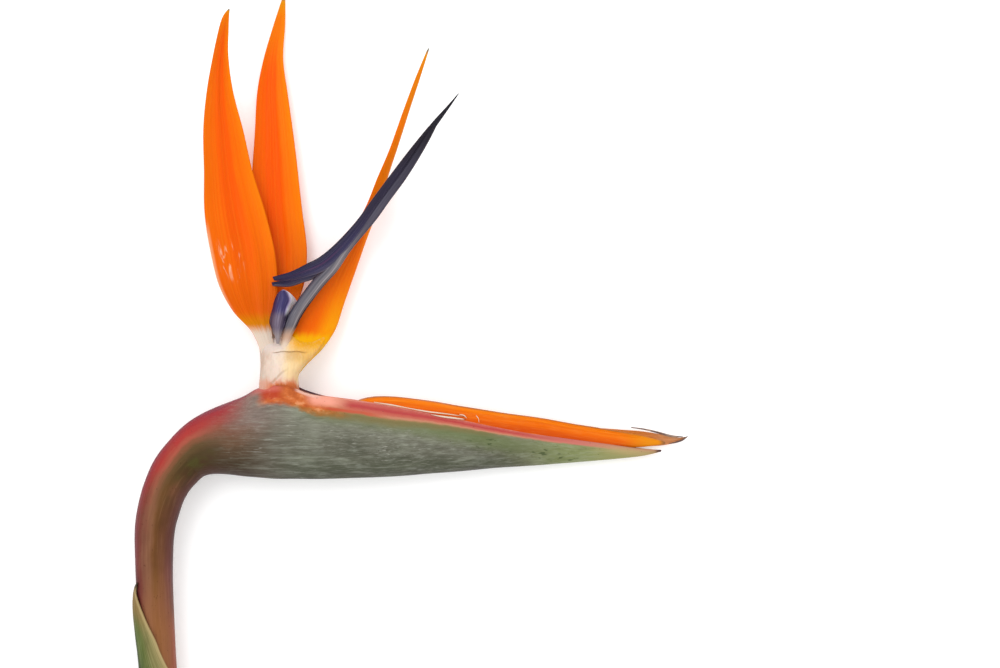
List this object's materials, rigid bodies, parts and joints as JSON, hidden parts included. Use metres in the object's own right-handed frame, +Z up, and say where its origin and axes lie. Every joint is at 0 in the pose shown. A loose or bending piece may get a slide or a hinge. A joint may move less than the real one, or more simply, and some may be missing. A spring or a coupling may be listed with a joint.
{
  "type": "bird of paradise flower",
  "caption": "Cut bird of paradise flower with a boat-shaped spathe, open orange sepals, a blue arrow petal and a bent stalk, lying on its side.",
  "frame": {"origin": "centre of the flower's footprint, on the surface that it lies on", "axes": "+X along the spathe towards its tip, +Y up the open sepals and away from the cut end of the stalk, +Z up from the surface"},
  "size_m": [0.1942, 0.339, 0.0222],
  "materials": {
    "stalk_skin": "satin",
    "sheath_skin": "satin",
    "spathe_skin": "satin",
    "cream_flesh": "satin",
    "orange_sepal": "satin",
    "blue_petal": "satin",
    "dark_style": "satin",
    "violet_petal": "satin",
    "orange_bud": "satin",
    "dry_membrane": "matte"
  },
  "bodies": {
    "root": {"peduncle": "stalk_skin", "stem_sheath": "sheath_skin", "spathe": "spathe_skin", "floret_base": "cream_flesh", "sepal_near": "orange_sepal", "sepal_far": "orange_sepal", "sepal_median": "orange_sepal", "arrow_petal": "blue_petal", "style_tip": "dark_style", "hood_petal": "violet_petal", "closed_buds": "orange_bud", "bracteole": "dry_membrane"}
  },
  "joints": []
}
